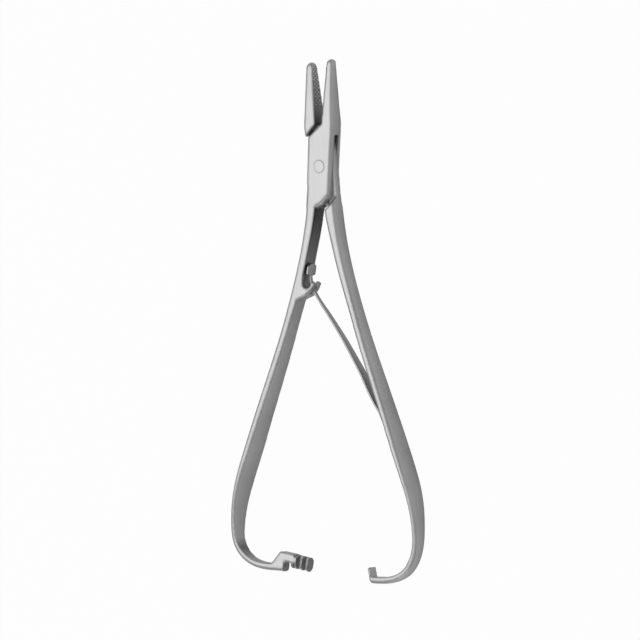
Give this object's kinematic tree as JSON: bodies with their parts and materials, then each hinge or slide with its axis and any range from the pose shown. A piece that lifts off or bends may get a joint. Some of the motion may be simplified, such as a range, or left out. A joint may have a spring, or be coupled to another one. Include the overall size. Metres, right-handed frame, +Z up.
{
  "type": "surgical needle holder",
  "caption": "Palm-squeeze needle holder with box lock, bowed strip handles, leaf spring between them and an end ratchet.",
  "frame": {"origin": "middle of the whole instrument's lowest plane as it lies on its side", "axes": "+Z up along the pivot's axis, +Y from the handles to the jaws, +X to the side of the tenon half's handle"},
  "size_m": [0.0737, 0.1704, 0.0093],
  "materials": {
    "satin_steel": "satin, finely brushed along its length",
    "spring_steel": "smooth satin"
  },
  "bodies": {
    "box_body": {"box_half": "satin_steel", "pivot_pin": "satin_steel"},
    "tenon_body": {"tenon_half": "satin_steel", "leaf_spring": "spring_steel", "spring_rivet": "spring_steel"}
  },
  "joints": [
    {"name": "squeeze", "type": "hinge", "parent": "box_body", "child": "tenon_body", "pos_m": [-0.00002, 0.05029, 0.00467], "axis": [0, 0, -1], "range_deg": [0, 9.2], "stiffness_Nm_per_rad": 2, "deforming": ["leaf_spring"]}
  ]
}
